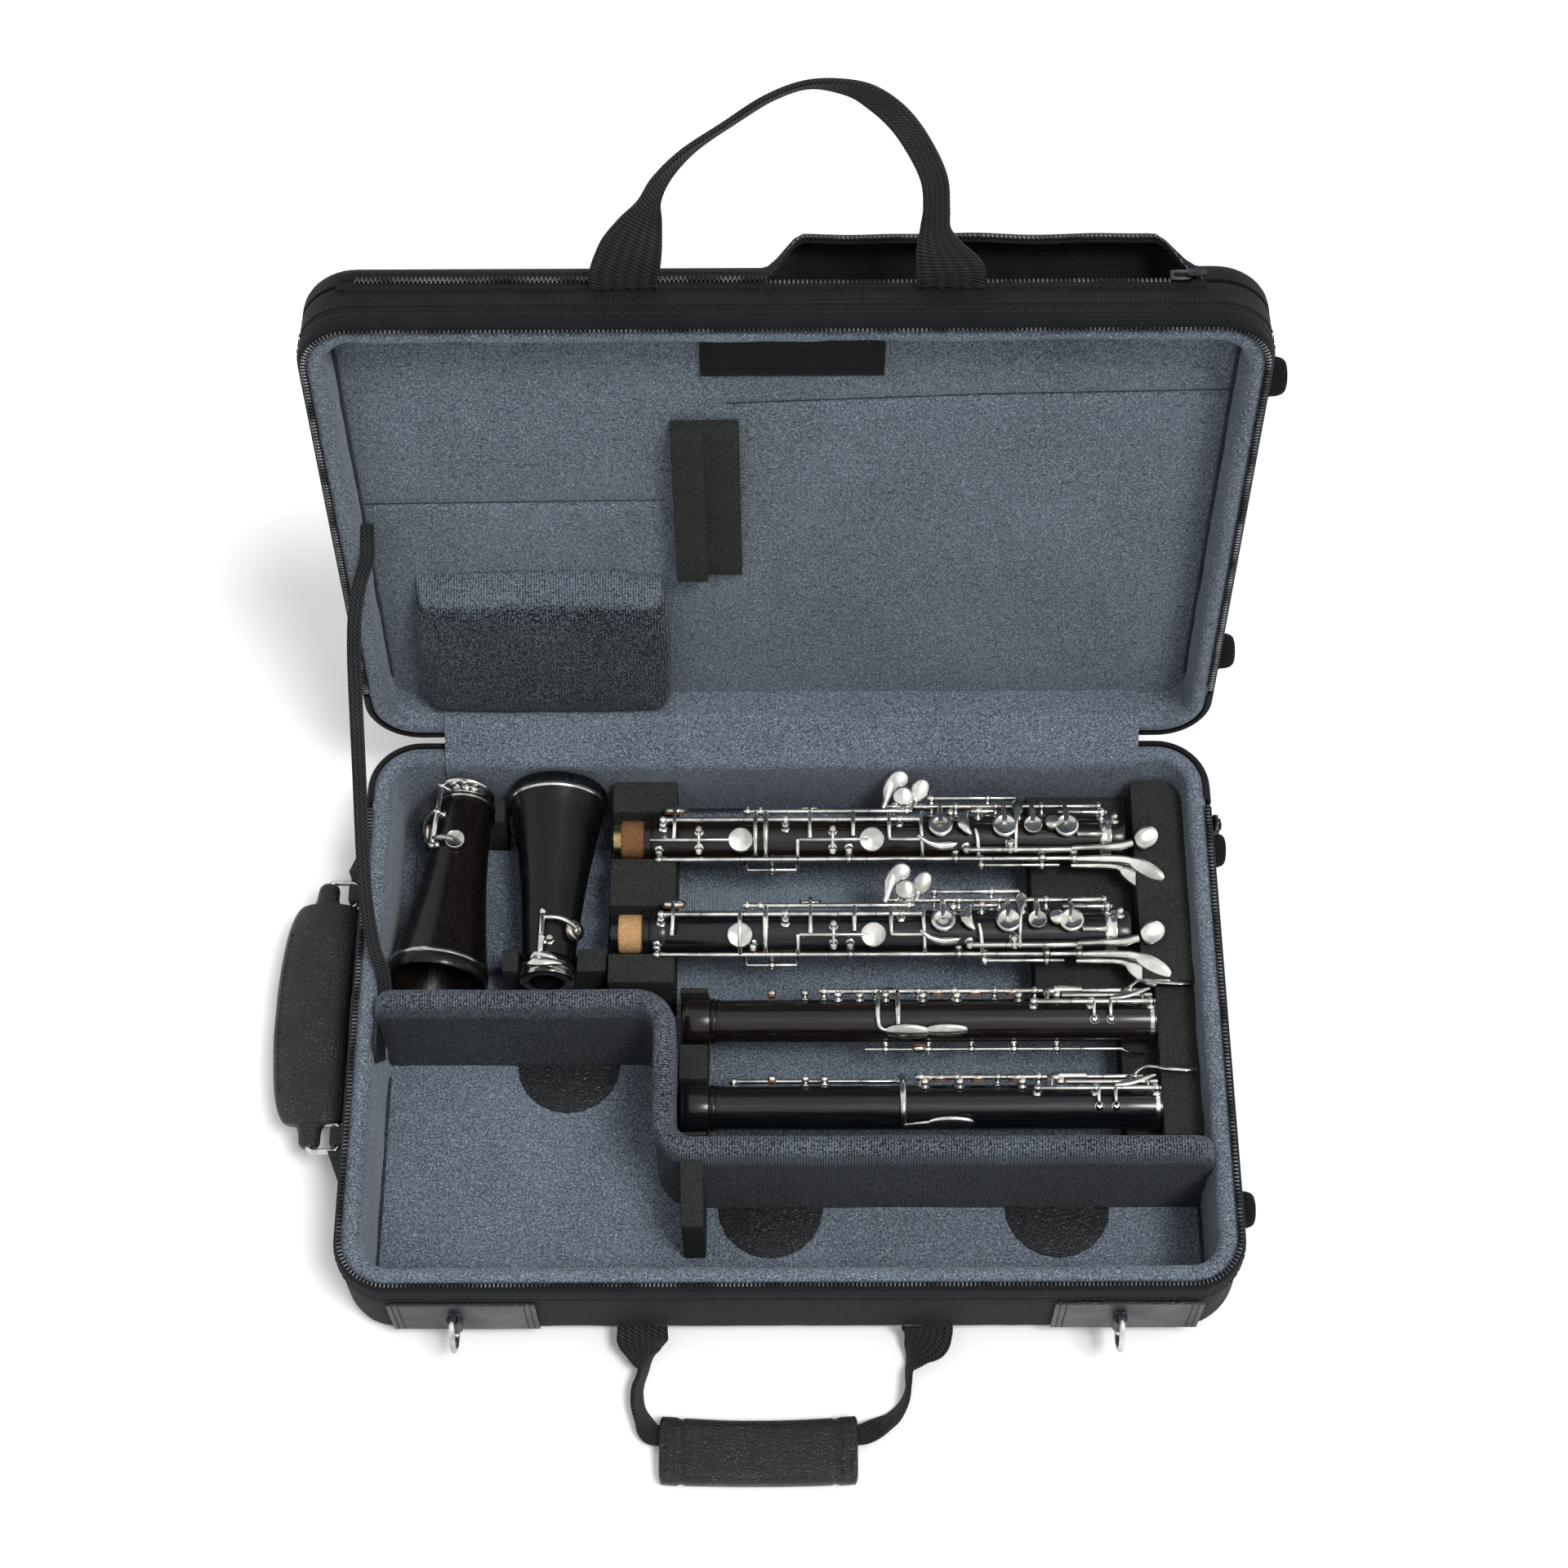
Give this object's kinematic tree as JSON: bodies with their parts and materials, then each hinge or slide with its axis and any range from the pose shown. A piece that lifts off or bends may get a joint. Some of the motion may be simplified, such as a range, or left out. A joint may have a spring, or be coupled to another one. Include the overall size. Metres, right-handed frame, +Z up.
{
  "type": "twin oboe case",
  "caption": "Padded soft case opened flat, with a velour lining, foam cradles, a divider, lift-out oboe joints, a zipped lid pocket and webbing and leather handles.",
  "frame": {"origin": "middle of the underside of the base, on the surface the case lies on", "axes": "+Z up, -Y towards the front with the carrying handle, +X to the right as seen from the front, where the rubber feet are"},
  "size_m": [0.4663, 0.458, 0.4533],
  "materials": {
    "base_shell": "ribbed black nylon",
    "base_lining": "blue-grey velour over padding",
    "base_zip": "black zip tape with metal teeth",
    "base_hinge_band": "ribbed black nylon",
    "divider_wall": "blue-grey velour over padding",
    "floor_patch_left": "grained black leather",
    "floor_patch_middle": "grained black leather",
    "floor_patch_right": "grained black leather",
    "cradle_lower_left": "black closed-cell foam",
    "cradle_lower_middle": "black closed-cell foam",
    "cradle_lower_right": "black closed-cell foam",
    "cradle_upper_left": "black closed-cell foam",
    "cradle_upper_right": "black closed-cell foam",
    "bell_rest_back": "black closed-cell foam",
    "bell_rest_front": "black closed-cell foam",
    "bell_bed": "blue-grey velour over padding",
    "accessory_plate": "black closed-cell foam",
    "spine_panel": "blue-grey velour sheet",
    "stay_strap": "black webbing",
    "stay_tab": "grained black leather",
    "front_patch_left": "smooth dark grey leather, stitched",
    "front_patch_right": "smooth dark grey leather, stitched",
    "d_ring_left": "polished nickel plate",
    "d_ring_right": "polished nickel plate",
    "base_foot_front": "moulded black rubber",
    "base_foot_back": "moulded black rubber",
    "lid_shell": "ribbed black nylon",
    "lid_lining": "blue-grey velour over padding",
    "lid_zip": "black zip tape with metal teeth",
    "lid_hinge_band": "ribbed black nylon",
    "lid_pillow": "blue-grey velour over soft padding",
    "lid_foam_block": "black closed-cell foam",
    "lid_label": "bare black woven label",
    "pocket_pouch": "ribbed black nylon",
    "pocket_flap": "ribbed black nylon with a zip edge",
    "pocket_slider": "blackened metal",
    "lid_handle": "black webbing",
    "lid_foot_front": "moulded black rubber",
    "lid_foot_back": "moulded black rubber",
    "zip_slider_left": "blackened metal",
    "zip_slider_right": "blackened metal",
    "front_handle_webbing": "black webbing",
    "front_handle_grip": "grained black leather",
    "side_handle_grip": "grained black leather",
    "side_handle_ring_back": "polished nickel plate",
    "side_handle_ring_front": "polished nickel plate",
    "side_handle_bracket_back": "grained black leather",
    "side_handle_bracket_front": "grained black leather",
    "lower_joint_brown": "oiled dark reddish hardwood with a cork tenon",
    "lower_joint_brown_keys": "polished silver plate",
    "lower_joint_black": "polished black hardwood with a cork tenon",
    "lower_joint_black_keys": "polished silver plate",
    "upper_joint_brown": "oiled dark reddish hardwood",
    "upper_joint_brown_keys": "polished silver plate",
    "upper_joint_black": "polished black hardwood",
    "upper_joint_black_keys": "polished silver plate",
    "bell_brown": "oiled dark reddish hardwood with a silver rim",
    "bell_brown_keys": "polished silver plate",
    "bell_black": "polished black hardwood with a silver rim",
    "bell_black_keys": "polished silver plate"
  },
  "bodies": {
    "base": {"base_shell": "base_shell", "base_lining": "base_lining", "base_zip": "base_zip", "base_hinge_band": "base_hinge_band", "divider_wall": "divider_wall", "floor_patch_left": "floor_patch_left", "floor_patch_middle": "floor_patch_middle", "floor_patch_right": "floor_patch_right", "cradle_lower_left": "cradle_lower_left", "cradle_lower_middle": "cradle_lower_middle", "cradle_lower_right": "cradle_lower_right", "cradle_upper_left": "cradle_upper_left", "cradle_upper_right": "cradle_upper_right", "bell_rest_back": "bell_rest_back", "bell_rest_front": "bell_rest_front", "bell_bed": "bell_bed", "accessory_plate": "accessory_plate", "spine_panel": "spine_panel", "stay_strap": "stay_strap", "stay_tab": "stay_tab", "front_patch_left": "front_patch_left", "front_patch_right": "front_patch_right", "base_foot_front": "base_foot_front", "base_foot_back": "base_foot_back", "side_handle_bracket_back": "side_handle_bracket_back", "side_handle_bracket_front": "side_handle_bracket_front"},
    "lid": {"lid_shell": "lid_shell", "lid_lining": "lid_lining", "lid_zip": "lid_zip", "lid_hinge_band": "lid_hinge_band", "lid_pillow": "lid_pillow", "lid_foam_block": "lid_foam_block", "lid_label": "lid_label", "pocket_pouch": "pocket_pouch", "lid_foot_front": "lid_foot_front", "lid_foot_back": "lid_foot_back"},
    "top_handle": {"lid_handle": "lid_handle"},
    "pocket_corner": {"pocket_flap": "pocket_flap"},
    "pocket_zip": {"pocket_slider": "pocket_slider"},
    "left_zip": {"zip_slider_left": "zip_slider_left"},
    "right_zip": {"zip_slider_right": "zip_slider_right"},
    "front_handle": {"front_handle_webbing": "front_handle_webbing", "front_handle_grip": "front_handle_grip"},
    "side_handle": {"side_handle_grip": "side_handle_grip", "side_handle_ring_back": "side_handle_ring_back", "side_handle_ring_front": "side_handle_ring_front"},
    "left_ring": {"d_ring_left": "d_ring_left"},
    "right_ring": {"d_ring_right": "d_ring_right"},
    "brown_lower": {"lower_joint_brown": "lower_joint_brown", "lower_joint_brown_keys": "lower_joint_brown_keys"},
    "black_lower": {"lower_joint_black": "lower_joint_black", "lower_joint_black_keys": "lower_joint_black_keys"},
    "brown_upper": {"upper_joint_brown": "upper_joint_brown", "upper_joint_brown_keys": "upper_joint_brown_keys"},
    "black_upper": {"upper_joint_black": "upper_joint_black", "upper_joint_black_keys": "upper_joint_black_keys"},
    "brown_bell": {"bell_brown": "bell_brown", "bell_brown_keys": "bell_brown_keys"},
    "black_bell": {"bell_black": "bell_black", "bell_black_keys": "bell_black_keys"}
  },
  "joints": [
    {"name": "lid_hinge", "type": "hinge", "parent": "base", "child": "lid", "pos_m": [0, 0.142, 0.064], "axis": [1, 0, 0], "range_deg": [0, 98.4], "deforming": ["spine_panel", "stay_strap"]},
    {"name": "lid_handle_swing", "type": "hinge", "parent": "lid", "child": "top_handle", "pos_m": [0.0008, 0.20506, 0.34385], "axis": [-1, 0, 0], "range_deg": [-75, 20]},
    {"name": "pocket_flap_hinge", "type": "hinge", "parent": "lid", "child": "pocket_corner", "pos_m": [0, 0.21291, 0.27793], "axis": [1, 0, 0], "range_deg": [0, 24]},
    {"name": "pocket_zip_slide", "type": "slide", "parent": "lid", "child": "pocket_zip", "axis": [-1, 0, 0], "range_m": [0, 0.165]},
    {"name": "left_zip_slide", "type": "slide", "parent": "base", "child": "left_zip", "axis": [0, -1, 0], "range_m": [0, 0.185]},
    {"name": "right_zip_slide", "type": "slide", "parent": "base", "child": "right_zip", "axis": [0, -1, 0], "range_m": [0, 0.185]},
    {"name": "front_handle_swing", "type": "hinge", "parent": "base", "child": "front_handle", "pos_m": [-0.0023, -0.1434, 0.016], "axis": [-1, 0, 0], "range_deg": [0, 60]},
    {"name": "side_handle_swing", "type": "hinge", "parent": "base", "child": "side_handle", "pos_m": [-0.214, 0.009, 0.03], "axis": [0, 1, 0], "range_deg": [0, 60]},
    {"name": "left_ring_swing", "type": "hinge", "parent": "base", "child": "left_ring", "pos_m": [-0.154, -0.1463, 0.031], "axis": [0, 0, 1], "range_deg": [-80, 80]},
    {"name": "right_ring_swing", "type": "hinge", "parent": "base", "child": "right_ring", "pos_m": [0.1515, -0.1463, 0.031], "axis": [0, 0, 1], "range_deg": [-80, 80]},
    {"name": "brown_lower_lift", "type": "slide", "parent": "base", "child": "brown_lower", "axis": [0, 0, -1], "range_m": [-0.06, 0]},
    {"name": "black_lower_lift", "type": "slide", "parent": "base", "child": "black_lower", "axis": [0, 0, -1], "range_m": [-0.06, 0]},
    {"name": "brown_upper_lift", "type": "slide", "parent": "base", "child": "brown_upper", "axis": [0, 0, -1], "range_m": [-0.06, 0]},
    {"name": "black_upper_lift", "type": "slide", "parent": "base", "child": "black_upper", "axis": [0, 0, -1], "range_m": [-0.06, 0]},
    {"name": "brown_bell_lift", "type": "slide", "parent": "base", "child": "brown_bell", "axis": [0, 0, -1], "range_m": [-0.06, 0]},
    {"name": "black_bell_lift", "type": "slide", "parent": "base", "child": "black_bell", "axis": [0, 0, -1], "range_m": [-0.06, 0]}
  ]
}
